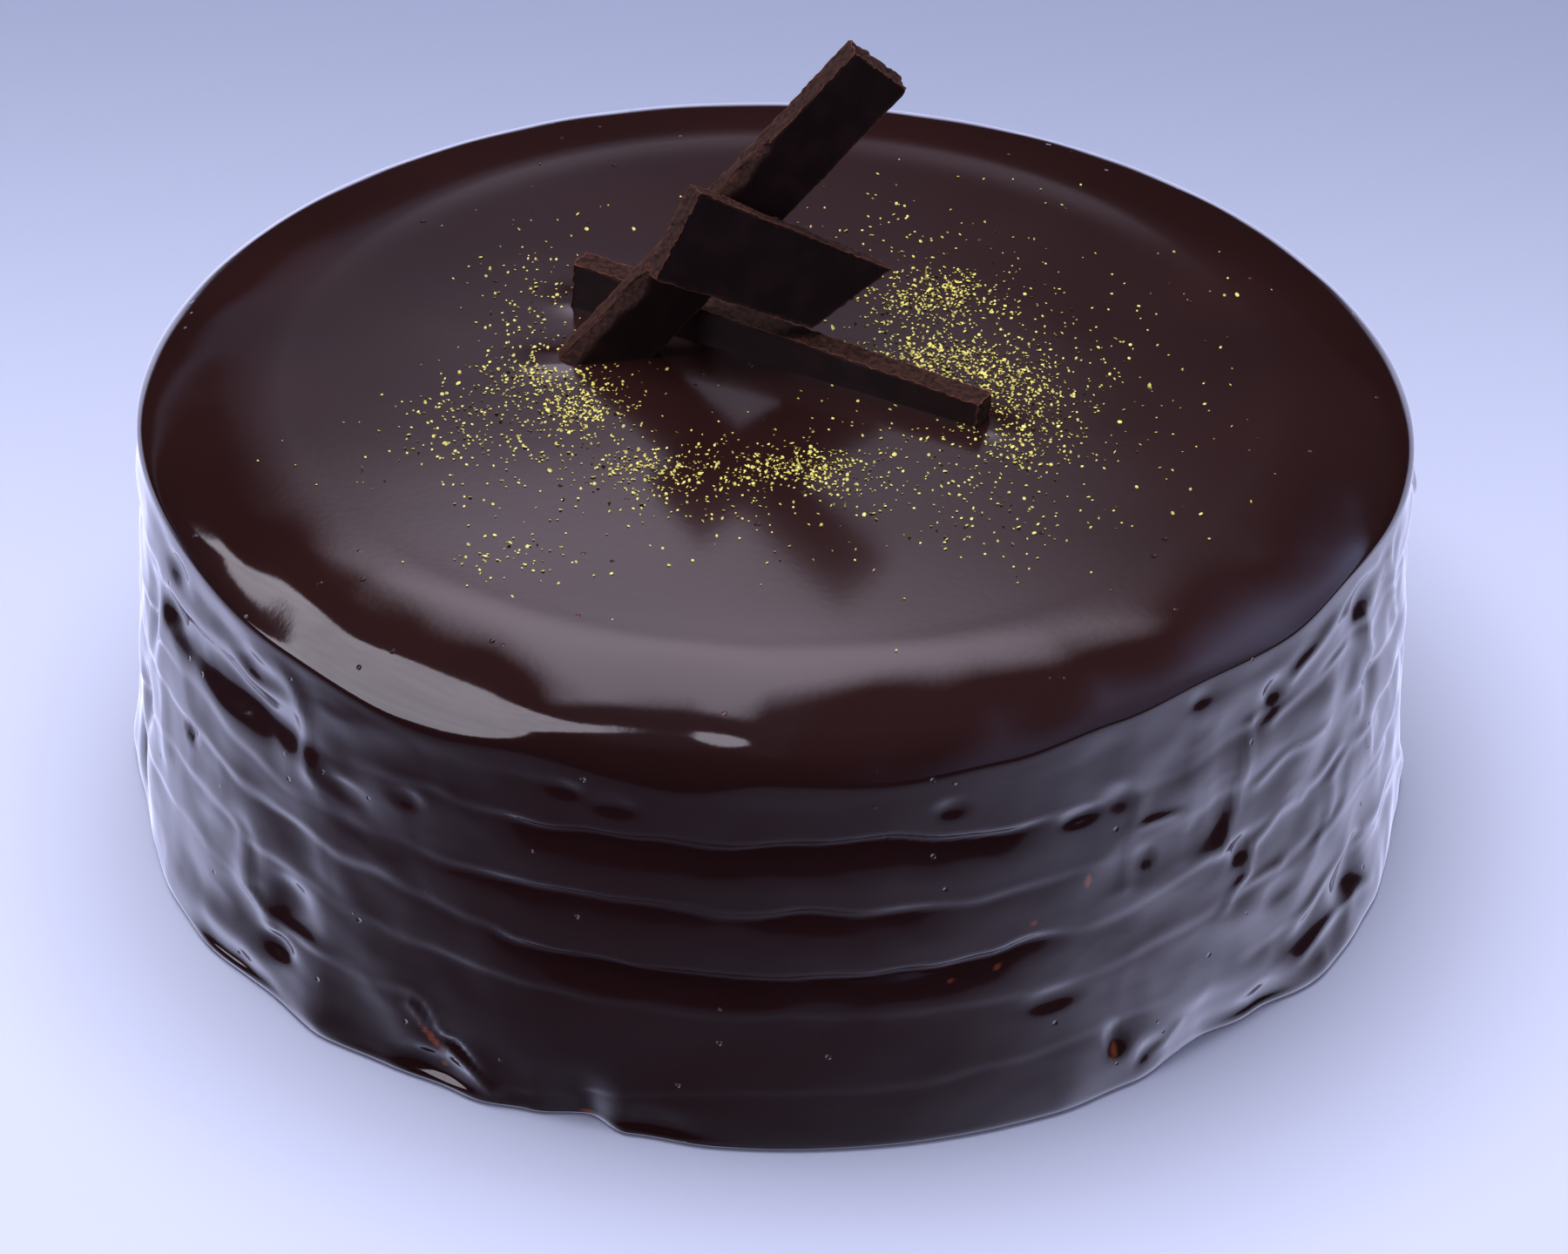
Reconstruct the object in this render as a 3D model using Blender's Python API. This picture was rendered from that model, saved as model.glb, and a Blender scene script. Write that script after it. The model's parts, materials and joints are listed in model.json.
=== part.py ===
"""A round chocolate cake under a poured glaze, with three dark chocolate bars and grains of gold on it.

The cake is one solid: a comb was drawn round its cream before the glaze went on, so its side steps in and
out in laps, and the glaze ends in an uneven foot. Its gold grains are fused to its top. The bars are cut
from one slab: one stands in the glaze on its edge, one is pushed in by its end and leans over the first,
and the third lies across both.

Angles round the cake are in degrees from its front (-Y), growing towards its right (+X). Lengths are in
millimetres until a mesh is made.
"""
import random
from math import cos, radians, sin

import bpy
import numpy as np
from mathutils import Matrix, Vector

MM = 0.001

# Driving dimensions of the cake
TOP_HEIGHT = 86.6
SIDE_RADIUS = 118.4
FOOT_RADIUS = 120.6
RIM_WIDTH = 28.0
TOP_CROWN = 0.5
FOOT_ROLL = 1.6

# How finely the cake is divided
SEGMENTS = 120
SIDE_ROWS = 21
RIM_ROWS = 6
TOP_RINGS = 3

# Height at which the rim turns into the side, by angle
RIM_CREASE = [(-150, 77), (-110, 78), (-70, 80), (-45, 76), (-30, 73), (-20, 75.5), (-7, 72.5), (0, 75),
              (10, 74), (20, 76), (30, 79), (40, 81), (50, 80), (60, 82.5), (80, 79), (120, 77)]

# How far the foot of the glaze stands out or is drawn in, by angle
FOOT_LOBES = [(-160, 1.2), (-135, -0.8), (-115, 1.2), (-103, 0.0), (-90, 1.3), (-77, -0.3), (-65, 1.0),
              (-55, 2.0), (-48, 0.2), (-40, 1.5), (-33, 0.5), (-25, 1.0), (-20, -0.5), (-15, -3.0), (-11, 1.0),
              (-5, 2.4), (15, 2.6), (25, 2.2), (33, 0.4), (42, -3.0), (48, -0.5), (57, 2.6), (68, 1.6),
              (80, 0.4), (93, 1.9), (125, -0.6), (145, 1.4), (175, 1.8)]

# Comb laps: the line where the side steps in, as (angle, height, depth of the step)
LAP_LIP = 1.6
LAP_FLANK = 7.0
LAPS = [
    [(-170, 79, 0.4), (-120, 78, 0.8), (-90, 80, 0.5), (-70, 79.5, 0.5), (-60, 78, 0.7), (-50, 75, 0.8),
     (-43, 72, 0), (46, 73, 0), (56, 77, 0.7), (64, 79, 0.7), (78, 77, 0.5), (110, 76, 0.8), (150, 77, 0.3)],
    [(-165, 65, 1.0), (-125, 67, 0.5), (-95, 64, 1.1), (-70, 66, 0.7), (-61, 63, 1.8), (-50, 62, 2.0),
     (-43, 61, 0.6), (-30, 61, 0.3), (-19, 62, 1.4), (0, 62.5, 1.6), (14, 62.5, 1.3), (23, 61, 0.3),
     (34, 63, 0.5), (52, 66.5, 1.0), (66, 66, 0.6), (85, 64, 1.0), (125, 66, 0.6), (155, 64, 1.2)],
    [(-160, 53, 0.6), (-130, 51, 1.1), (-85, 52, 0.9), (-55, 50, 0.7), (-38, 48.5, 0.2), (-19, 48.5, 1.0),
     (-7, 48.5, 0.9), (-3, 48, 0.4), (6, 48.5, 1.1), (16, 48, 0.6), (30, 50, 0.3), (55, 55.5, 0.9),
     (75, 52, 0.7), (100, 54, 1.0), (140, 52, 0.6)],
    [(-175, 41, 1.1), (-140, 42, 0.5), (-105, 40, 1.0), (-65, 42.5, 0.7), (-40, 39.8, 0.7), (-26, 39, 0.4),
     (-18, 37.5, 1.4), (0, 36.5, 1.7), (14, 37, 1.4), (25, 37.5, 0.3), (48, 43.5, 0.8), (66, 43, 0.7),
     (90, 41, 1.1), (130, 42, 0.6), (160, 40, 1.0)],
    [(-165, 29, 0.5), (-120, 31, 1.0), (-85, 29, 0.7), (-55, 30.5, 0.6), (-43, 29.5, 0.3), (-18, 27, 0.5),
     (0, 26, 0.2), (25, 26.5, 0.2), (47, 30.5, 0.6), (68, 32, 0.8), (95, 30, 0.6), (135, 31, 1.0)],
    [(-155, 18, 0.9), (-110, 17, 0.5), (-75, 19, 0.7), (-52, 19, 1.0), (-40, 15, 0.9), (-31, 16, 1.0),
     (-23, 8, 0.5), (0, 14, 0.1), (40, 15, 0.2), (58, 19, 0.8), (75, 18, 0.6), (115, 19, 0.9), (150, 17, 0.5)],
]

# Folds of glaze that stand up from the side: (angle, height) of each end, how high they stand, half width
FOLDS = [(-46, 78, -43, 55, 0.8, 2.6), (-51, 31, -49, 17, 0.8, 2.4), (-31, 17, -23, 4, 0.8, 1.8),
         (32, 53, 31, 40, 0.6, 2.0), (38, 62, 37, 44, 0.4, 2.2), (45, 66, 43, 42, 0.7, 2.2),
         (46, 44, 44, 31, 0.6, 2.0), (58, 56, 57, 30, 0.7, 2.2), (65, 71, 67, 44, 0.7, 2.4),
         (74, 78, 75, 20, 0.7, 2.8), (-68, 64, -70, 30, 0.6, 3.0), (-92, 22, -90, 5, 1.3, 5.0),
         (-108, 70, -104, 38, 0.7, 3.0), (-132, 54, -130, 22, 0.8, 3.0), (-158, 72, -155, 40, 0.7, 2.8),
         (98, 66, 101, 30, 0.8, 3.0), (122, 76, 119, 46, 0.7, 2.8), (143, 50, 146, 14, 0.8, 3.2),
         (168, 70, 170, 34, 0.7, 3.0)]

# Hollows in the side: (angle, height, half width, half height, depth)
HOLLOWS = [(-52, 57.5, 15, 4.0, 0.8), (-44.5, 23.5, 6, 3.5, 1.2), (-53, 4, 12, 3.5, 1.2), (-28, 5, 9, 3.5, 1.2),
           (-58, 72, 5, 2.5, 0.8), (-50, 69.5, 7, 2.5, 0.8), (61, 74, 5, 4.0, 1.2), (63, 15.5, 6, 4.5, 1.4),
           (60, 62, 4, 3.0, 0.9), (48, 71, 3, 3.0, 0.8), (44.5, 41, 3, 3.0, 0.8), (31, 11, 3, 3.0, 0.8),
           (-100, 50, 8, 4.0, 1.0), (-145, 34, 9, 4.0, 1.1), (108, 22, 8, 4.0, 1.1), (160, 58, 8, 4.0, 1.0)]

# The slab that the bars are cut from, and how uneven its broken faces are
SLAB = 5.2
BREAK_DEPTH = 0.45
BAR_STATIONS = 22
GAP = 0.35

# Each bar: the corner it is set out from, how its broad face is turned (yaw to the right, lean back), how its
# length slopes, its length, its width at each end, how far its first end is off square, how far its last end
# is cut back at its lower edge, how deep its two front edges are chipped and how much of the higher edge is
BARS = {
    "chocolate_bar_on_edge": dict(corner=(-39.5, 20.4, 84.9), yaw=-28.3, lean=0.0, slope=-3.0, length=86.4,
                                  widths=(12.5, 12.5), skew=0.0, end_cut=0.0, low_chip=0.4, high_chip=0.7, chip_to=1.0),
    "chocolate_bar_leaning": dict(corner=(-33.3, -0.4, 75.4), yaw=12.0, lean=-1.2, slope=48.8, length=86.6,
                                  widths=(13.5, 13.5), skew=0.0, end_cut=0.0, low_chip=0.7, high_chip=2.3, chip_to=0.66),
    "chocolate_bar_across": dict(corner=(-22.7, -10.3, 111.3), yaw=21.8, lean=8.0, slope=-26.6, length=44.6,
                                 widths=(18.3, 15.5), skew=1.6, end_cut=10.5, low_chip=0.3, high_chip=0.6, chip_to=1.0),
}

# Gold grains: where they are thickest on the top, as (x, y, spread, share of all grains)
GRAIN_COUNT = 64
GRAIN_SIZES = (0.75, 0.5)
GRAIN_DRIFTS = [(43, -8, 9, 0.24), (31, 33, 10, 0.16), (7, -31, 8, 0.16), (-16, -42, 14, 0.14),
                (-57, -22, 11, 0.12), (37, -51, 9, 0.10), (-39, -11, 4, 0.08)]
GRAIN_CLEAR = 1.6


def smooth(t):
    """A soft step from 0 to 1."""
    t = np.clip(t, 0.0, 1.0)
    return t * t * (3.0 - 2.0 * t)


def round_the_cake(knots, angle, column=1):
    """Follow one column of (angle, ...) knots once round the cake, softly from knot to knot."""
    at = np.array([knot[0] for knot in knots], float)
    value = np.array([knot[column] for knot in knots], float)
    at = np.append(at, at[0] + 360.0)
    value = np.append(value, value[0])
    turned = (np.asarray(angle, float) - at[0]) % 360.0 + at[0]
    left = np.clip(np.searchsorted(at, turned, side="right") - 1, 0, len(at) - 2)
    share = smooth((turned - at[left]) / (at[left + 1] - at[left]))
    return value[left] + (value[left + 1] - value[left]) * share


def lap_relief(angle, height):
    """Each lap steps in under its line, and runs out again down its flank."""
    depth = np.zeros_like(height)
    for line in LAPS:
        below = round_the_cake(line, angle) - height
        inside = smooth((below + LAP_LIP) / LAP_LIP) * (1.0 - smooth(below / LAP_FLANK))
        depth -= round_the_cake(line, angle, 2) * inside
    return depth


def fold_relief(angle, height):
    """Each fold is a low rounded ridge between its two ends."""
    arc = np.radians(SIDE_RADIUS)
    raised = np.zeros_like(height)
    for start, high, end, low, stands, half_width in FOLDS:
        middle = (start + end) / 2.0
        across = ((angle - middle + 180.0) % 360.0 - 180.0) * arc
        run = np.array([(end - start) * arc, low - high])
        first = np.array([(start - middle) * arc, high])
        share = ((across - first[0]) * run[0] + (height - first[1]) * run[1]) / (run @ run)
        share = np.clip(share, 0.0, 1.0)
        gap = np.hypot(across - first[0] - share * run[0], height - first[1] - share * run[1])
        raised += stands * np.exp(-(gap / half_width) ** 2)
    return raised


def hollow_relief(angle, height):
    """Each hollow is a shallow oval dish."""
    arc = np.radians(SIDE_RADIUS)
    depth = np.zeros_like(height)
    for middle, level, half_width, half_height, deep in HOLLOWS:
        across = ((angle - middle + 180.0) % 360.0 - 180.0) * arc / half_width
        up = (height - level) / half_height
        depth -= deep * np.exp(-(across ** 2 + up ** 2) ** 1.5)
    return depth


def side_reach(angle, height):
    """Distance of the side from the cake's axis."""
    crease = round_the_cake(RIM_CREASE, angle)
    share = height / crease
    reach = FOOT_RADIUS + (SIDE_RADIUS - FOOT_RADIUS) * smooth(share)
    reach += round_the_cake(FOOT_LOBES, angle) * (1.0 - smooth(height / 9.0))
    fade = smooth((1.0 - share) * 9.0) * smooth(height / 3.0)
    relief = lap_relief(angle, height) + fold_relief(angle, height) + hollow_relief(angle, height)
    return reach + relief * fade


def cake_rows():
    """The rings of the cake from its foot to the middle of its top, as (reach, height) arrays."""
    angle = np.arange(SEGMENTS) * 360.0 / SEGMENTS
    crease = round_the_cake(RIM_CREASE, angle)
    rows = [(side_reach(angle, np.zeros(SEGMENTS)) - FOOT_ROLL, np.zeros(SEGMENTS))]
    for row in range(SIDE_ROWS):
        share = row / (SIDE_ROWS - 1.0)
        height = FOOT_ROLL + (crease - FOOT_ROLL) * share
        rows.append((side_reach(angle, height), height))
    for row in range(1, RIM_ROWS + 1):
        turn = np.radians(90.0) * row / RIM_ROWS
        reach = SIDE_RADIUS - RIM_WIDTH * (1.0 - np.cos(turn))
        rows.append((np.full(SEGMENTS, reach), crease + (TOP_HEIGHT - crease) * np.sin(turn)))
    inner = SIDE_RADIUS - RIM_WIDTH
    for ring in range(1, TOP_RINGS + 1):
        share = 1.0 - ring / (TOP_RINGS + 1.0)
        crown = TOP_HEIGHT + TOP_CROWN * (1.0 - share ** 2)
        rows.append((np.full(SEGMENTS, inner * share), np.full(SEGMENTS, crown)))
    return angle, rows


def solid_object(name, points, faces):
    """A closed object from points in millimetres and their faces."""
    mesh = bpy.data.meshes.new(name)
    mesh.from_pydata([tuple(float(c) * MM for c in point) for point in points], [], faces)
    mesh.validate()
    item = bpy.data.objects.new(name, mesh)
    bpy.context.scene.collection.objects.link(item)
    return item


def make_cake():
    """The cake's own solid, before the bars and the grains meet it."""
    angle, rows = cake_rows()
    turn = np.radians(angle)
    points = []
    for reach, height in rows:
        points.extend(zip(reach * np.sin(turn), -reach * np.cos(turn), height))
    faces = []
    for row in range(len(rows) - 1):
        for step in range(SEGMENTS):
            after = (step + 1) % SEGMENTS
            faces.append((row * SEGMENTS + step, row * SEGMENTS + after,
                          (row + 1) * SEGMENTS + after, (row + 1) * SEGMENTS + step))
    under, crown = len(points), len(points) + 1
    points.extend([(0.0, 0.0, 0.0), (0.0, 0.0, TOP_HEIGHT + TOP_CROWN)])
    last = (len(rows) - 1) * SEGMENTS
    for step in range(SEGMENTS):
        after = (step + 1) % SEGMENTS
        faces.append((under, after, step))
        faces.append((crown, last + step, last + after))
    return solid_object("glazed_cake", points, faces)


def bar_axes(yaw, lean, slope):
    """Along, across and outward directions of a bar's broad face."""
    level = Matrix.Rotation(radians(yaw), 3, "Z") @ Matrix.Rotation(radians(-lean), 3, "X")
    right, outward, up = level @ Vector((1, 0, 0)), level @ Vector((0, -1, 0)), level @ Vector((0, 0, 1))
    along = cos(radians(slope)) * right + sin(radians(slope)) * up
    return along, outward.cross(along), outward


def bar_outline(width, low_chip, high_chip, uneven):
    """One cross-section of a bar, as (across, outward) pairs, with its broken faces drawn in."""
    low, high, back = uneven
    return [(low_chip, 0.0), (width - high_chip, 0.0), (width - high, -min(high_chip, SLAB / 2.0)),
            (width - high, -SLAB / 2.0 - 0.4), (width - high, -SLAB + 0.3), (width - 0.5, -SLAB),
            (0.5 + back, -SLAB), (low, -SLAB + 0.3), (low, -SLAB / 2.0 - 0.4), (low, -min(low_chip, SLAB / 2.0))]


def make_bar(name, corner, yaw, lean, slope, length, widths, skew, end_cut, low_chip, high_chip, chip_to):
    """A bar of the slab, uneven along its cut edges and at its broken ends."""
    draw = random.Random(name)
    along, across, outward = bar_axes(yaw, lean, slope)
    points = []
    for station in range(BAR_STATIONS):
        share = station / (BAR_STATIONS - 1.0)
        width = widths[0] + (widths[1] - widths[0]) * share
        chip = high_chip if share <= chip_to else 0.6
        uneven = [draw.uniform(0.0, BREAK_DEPTH) for _ in range(3)]
        outline = bar_outline(width, low_chip * draw.uniform(0.5, 1.0), chip * draw.uniform(0.75, 1.0), uneven)
        at_end = station in (0, BAR_STATIONS - 1)
        for side, out in outline:
            ragged = draw.uniform(0.0, BREAK_DEPTH) if at_end else 0.0
            reach = length * share + (ragged if station == 0 else -ragged)
            reach += skew * (1.0 - share) * side / width - end_cut * share * (1.0 - side / width)
            points.append(Vector(corner) + along * reach + across * side + outward * out)
    count = len(outline)
    faces = [tuple(range(count)), tuple(range(len(points) - count, len(points)))[::-1]]
    for station in range(BAR_STATIONS - 1):
        for step in range(count):
            after = (step + 1) % count
            near, far = station * count, (station + 1) * count
            faces.append((near + step, far + step, far + after, near + after))
    return solid_object(name, points, faces)


def bar_clearance(name, corner, yaw, lean, slope, length, widths, **_):
    """The room a bar takes in the cake: its own box, a gap larger on every side."""
    along, across, outward = bar_axes(yaw, lean, slope)
    points = []
    for reach in (-GAP, length + GAP):
        width = widths[0] if reach < 0 else widths[1]
        for side, out in ((-GAP, GAP), (width + GAP, GAP), (width + GAP, -SLAB - GAP), (-GAP, -SLAB - GAP)):
            points.append(Vector(corner) + along * reach + across * side + outward * out)
    faces = [(0, 1, 2, 3), (7, 6, 5, 4), (4, 5, 1, 0), (5, 6, 2, 1), (6, 7, 3, 2), (7, 4, 0, 3)]
    room = solid_object(name + "_room", points, faces)
    room.display_type = "WIRE"
    room.hide_render = True
    return room


def near_a_bar(x, y):
    """True where a grain would meet a bar, its pocket or the edge of one."""
    for form in BARS.values():
        along, across, outward = bar_axes(form["yaw"], form["lean"], form["slope"])
        start = Vector(form["corner"])
        for step in range(61):
            spot = start + along * (form["length"] * step / 60.0)
            for side in (0.0, 0.5, 1.0):
                for out in (0.0, -SLAB):
                    edge = spot + across * (form["widths"][0] * side) + outward * out
                    low_enough = edge.z < TOP_HEIGHT + 6.0
                    if low_enough and (edge.x - x) ** 2 + (edge.y - y) ** 2 < (GRAIN_CLEAR + 1.2) ** 2:
                        return True
    return False


def top_height(x, y):
    """Height of the flat of the cake's top."""
    return TOP_HEIGHT + TOP_CROWN * (1.0 - (x * x + y * y) / (SIDE_RADIUS - RIM_WIDTH) ** 2)


def make_grains():
    """The largest gold grains, half sunk in the glaze and clear of each other and of the bars."""
    draw = random.Random(7)
    gathered = bpy.data.collections.new("gold_grains")
    bpy.context.scene.collection.children.link(gathered)
    spots = []
    while len(spots) < GRAIN_COUNT:
        choice, total = draw.random(), 0.0
        for x, y, spread, share in GRAIN_DRIFTS:
            total += share
            if choice <= total:
                break
        x, y = x + draw.gauss(0.0, spread), y + draw.gauss(0.0, spread)
        apart = all((x - p) ** 2 + (y - q) ** 2 > (2.0 * GRAIN_CLEAR) ** 2 for p, q in spots)
        if apart and x * x + y * y < 80.0 ** 2 and not near_a_bar(x, y):
            spots.append((x, y))
    for number, (x, y) in enumerate(spots):
        size = GRAIN_SIZES[0] + (GRAIN_SIZES[1] - GRAIN_SIZES[0]) * number / GRAIN_COUNT
        bpy.ops.mesh.primitive_ico_sphere_add(subdivisions=1, radius=size * MM)
        grain = bpy.context.object
        turned = Matrix.Rotation(draw.uniform(0.0, 3.0), 4, "Z") @ Matrix.Rotation(0.4, 4, "X")
        place = Matrix.Translation(Vector((x, y, top_height(x, y) + 0.1 * size)) * MM)
        grain.data.transform(place @ Matrix.Diagonal((1.0, 0.8, 0.7, 1.0)) @ turned)
        for holder in list(grain.users_collection):
            holder.objects.unlink(grain)
        gathered.objects.link(grain)
    return gathered


def apply_boolean(target, operation, item=None, collection=None):
    """Cut or join with the exact solver, and keep the result."""
    cut = target.modifiers.new("shape", "BOOLEAN")
    cut.operation = operation
    cut.solver = "EXACT"
    if collection:
        cut.operand_type = "COLLECTION"
        cut.collection = collection
    else:
        cut.object = item
    bpy.context.view_layer.objects.active = target
    bpy.ops.object.modifier_apply(modifier=cut.name)


def finish(name, colour, roughness, metallic=0.0):
    """A plain material of the part's own colour."""
    material = bpy.data.materials.new(name)
    material.use_nodes = True
    shader = material.node_tree.nodes["Principled BSDF"]
    shader.inputs["Base Color"].default_value = (*colour, 1.0)
    shader.inputs["Roughness"].default_value = roughness
    shader.inputs["Metallic"].default_value = metallic
    return material


def main():
    for item in list(bpy.data.objects):
        bpy.data.objects.remove(item, do_unlink=True)
    glaze = finish("glaze", (0.022, 0.010, 0.008), 0.12)
    chocolate = finish("dark_chocolate", (0.030, 0.014, 0.010), 0.45)

    cake = make_cake()
    for name, form in BARS.items():
        room = bar_clearance(name, **form)
        apply_boolean(cake, "DIFFERENCE", item=room)
        bpy.data.objects.remove(room, do_unlink=True)
    grains = make_grains()
    apply_boolean(cake, "UNION", collection=grains)
    for grain in list(grains.objects):
        bpy.data.objects.remove(grain, do_unlink=True)
    bpy.data.collections.remove(grains)
    cake.data.materials.clear()
    cake.data.materials.append(glaze)

    for name, form in BARS.items():
        bar = make_bar(name, **form)
        bar.data.materials.append(chocolate)


main()
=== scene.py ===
"""Dresses a round chocolate cake: its poured glaze, three broken chocolate bars, scattered gold.

Lengths in the form lists are millimetres. Angles round the cake are degrees from its front (-Y),
growing towards its right (+X). Every finished piece keeps its place in its mesh, in metres.
"""
import json
from math import cos, radians, sin

import bpy
import numpy as np
from bpy.props import FloatProperty, FloatVectorProperty, IntProperty, PointerProperty
from mathutils import Matrix, Vector

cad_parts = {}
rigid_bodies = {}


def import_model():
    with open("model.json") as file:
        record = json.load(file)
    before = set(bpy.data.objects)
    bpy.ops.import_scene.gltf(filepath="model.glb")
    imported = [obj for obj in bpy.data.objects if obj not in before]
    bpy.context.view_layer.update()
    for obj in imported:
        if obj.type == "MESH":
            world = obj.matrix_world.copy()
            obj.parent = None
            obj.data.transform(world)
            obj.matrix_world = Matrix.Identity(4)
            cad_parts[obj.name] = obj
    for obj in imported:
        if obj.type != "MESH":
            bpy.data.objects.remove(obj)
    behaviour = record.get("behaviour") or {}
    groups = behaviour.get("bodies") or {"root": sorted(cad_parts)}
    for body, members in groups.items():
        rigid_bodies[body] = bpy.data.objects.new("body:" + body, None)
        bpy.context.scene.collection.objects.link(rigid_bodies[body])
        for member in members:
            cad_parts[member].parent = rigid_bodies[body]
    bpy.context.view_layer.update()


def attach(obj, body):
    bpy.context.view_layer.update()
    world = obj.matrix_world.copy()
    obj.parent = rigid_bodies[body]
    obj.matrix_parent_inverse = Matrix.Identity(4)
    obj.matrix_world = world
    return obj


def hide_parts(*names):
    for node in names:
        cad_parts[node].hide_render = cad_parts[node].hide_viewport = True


bl_info = {
    "name": "Glazed Chocolate Cake",
    "version": (1, 0, 0),
    "blender": (4, 5, 0),
    "location": "View3D > Sidebar > Cake",
    "description": "Pours the glaze, breaks the chocolate and scatters the gold of a round cake",
    "category": "Object",
}

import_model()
MM = 0.001

# The cake's main sizes
TOP_HEIGHT = 86.6
SIDE_RADIUS = 118.4
FOOT_RADIUS = 120.6
RIM_WIDTH = 28.0
FLAT_RADIUS = SIDE_RADIUS - RIM_WIDTH
TOP_CROWN = 1.0
FOOT_ROLL = 1.6

# Millimetres along the side for each degree, and the height over which its ripples are laid
ARC = np.radians(SIDE_RADIUS)
SIDE_TALL = 88.0

# Rows of the glaze, foot to top, and how much finer it is cut at its front
FOOT_ROWS, SIDE_ROWS, RIM_ROWS, TOP_ROWS = 5, 116, 32, 34
FINER_FRONT = 0.35

# How far the glaze climbs against a sunk bar, and over what distance that dies out
CLIMB, CLIMB_REACH = 0.5, 1.8

# Height at which the rim turns into the side, by angle
RIM_CREASE = [
    (-150, 77), (-110, 78), (-70, 80), (-45, 76), (-30, 73), (-20, 75.5), (-7, 72.5), (0, 75),
    (10, 74), (20, 76), (30, 79), (40, 81), (50, 80), (60, 82.5), (80, 79), (120, 77)
]

# How far the foot of the glaze stands out or is drawn in, by angle
FOOT_LOBES = [
    (-160, 1.2), (-135, -0.8), (-115, 1.2), (-103, 0.0), (-90, 1.3), (-77, -0.3), (-65, 1.0),
    (-55, 2.0), (-48, 0.2), (-40, 1.5), (-33, 0.5), (-25, 1.0), (-20, -0.5), (-15, -3.0),
    (-11, 1.0), (-5, 1.9), (15, 2.1), (25, 1.8), (33, 0.4), (42, -3.0), (48, -0.5), (57, 2.6),
    (68, 1.6), (80, 0.4), (93, 1.9), (125, -0.6), (145, 1.4), (175, 1.8)
]

# Comb laps: the width of their lip and flank, how far they wander, how much they come and go
LAP_LIP = 1.7
LAP_FLANK = 9.0
LAP_WANDER = 0.7
LAP_FAINT = 0.8

# The line where the side steps in under each lap, as (angle, height, depth of the step)
LAPS = [
    [(-170, 79, 0.4), (-120, 78, 0.8), (-90, 80, 0.6), (-70, 80.5, 0.9), (-60, 77, 1.0),
     (-50, 74.5, 1.0), (-44, 71, 0.2), (46, 73, 0), (54, 74, 0.3), (62, 79, 0.5), (78, 77, 0.5),
     (110, 76, 0.8), (150, 77, 0.3)],
    [(-165, 65, 1.0), (-125, 67, 0.5), (-95, 64, 1.1), (-72, 66, 0.6), (-66, 65, 0.4),
     (-60, 64, 0.7), (-53, 62.5, 0.7), (-46.5, 60.5, 0.2), (-41, 61, 0.1), (-24, 62, 0.5),
     (-20, 61.3, 1.2), (-8, 62, 1.35), (10, 63, 1.5), (19, 62, 1.25), (25, 62, 0.2), (36, 63, 0.1),
     (50, 66, 0.5), (60, 67.5, 0.5), (85, 64, 0.9), (125, 66, 0.6), (155, 64, 1.2)],
    [(-160, 53, 0.6), (-130, 51, 1.1), (-85, 52, 0.9), (-62, 52, 0.6), (-46, 48, 0.5),
     (-36, 48.5, 0.2), (-21, 48.5, 0.7), (-12, 49, 1.0), (-6, 48.5, 0.7), (-4, 48, 0.6),
     (3, 49, 1.1), (12, 48.5, 0.9), (17, 48.5, 0.3), (30, 50, 0.1), (44, 53, 0.2), (57, 55, 0.5),
     (75, 52, 0.7), (100, 54, 1.0), (140, 52, 0.6)],
    [(-175, 41, 1.1), (-140, 42, 0.5), (-105, 40, 1.0), (-61, 43, 0.7), (-52, 41.5, 0.7),
     (-38, 40, 0.7), (-24, 38.3, 0.4), (-21, 36.0, 0.9), (-16, 35.8, 1.6), (0, 35.2, 1.7),
     (12, 35.4, 1.6), (19, 36, 1.1), (23, 38, 0.8), (27, 37, 0.1), (48, 43, 0.4), (66, 43, 0.5),
     (90, 41, 1.1), (130, 42, 0.6), (160, 40, 1.0)],
    [(-165, 29, 0.5), (-120, 31, 1.0), (-85, 29, 0.7), (-62, 32, 0.7), (-50, 31, 0.6),
     (-41, 30, 0.2), (-20, 27.5, 0.35), (-10, 27, 0.15), (25, 26.5, 0.1), (47, 30.5, 0.4),
     (68, 32, 0.5), (95, 30, 0.6), (135, 31, 1.0)],
    [(-155, 18, 0.9), (-110, 17, 0.5), (-75, 20, 0.7), (-56, 21, 0.3), (-49, 17, 0.7),
     (-38, 15.5, 0.8), (-31, 17.5, 1.2), (-27, 11, 1.2), (-22, 4, 0.2), (0, 12, 0.1), (40, 15, 0.1),
     (54, 15, 0.4), (62, 20.5, 0.6), (75, 18, 0.7), (88, 8, 0.6), (115, 19, 0.9), (150, 17, 0.5)],
]

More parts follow.
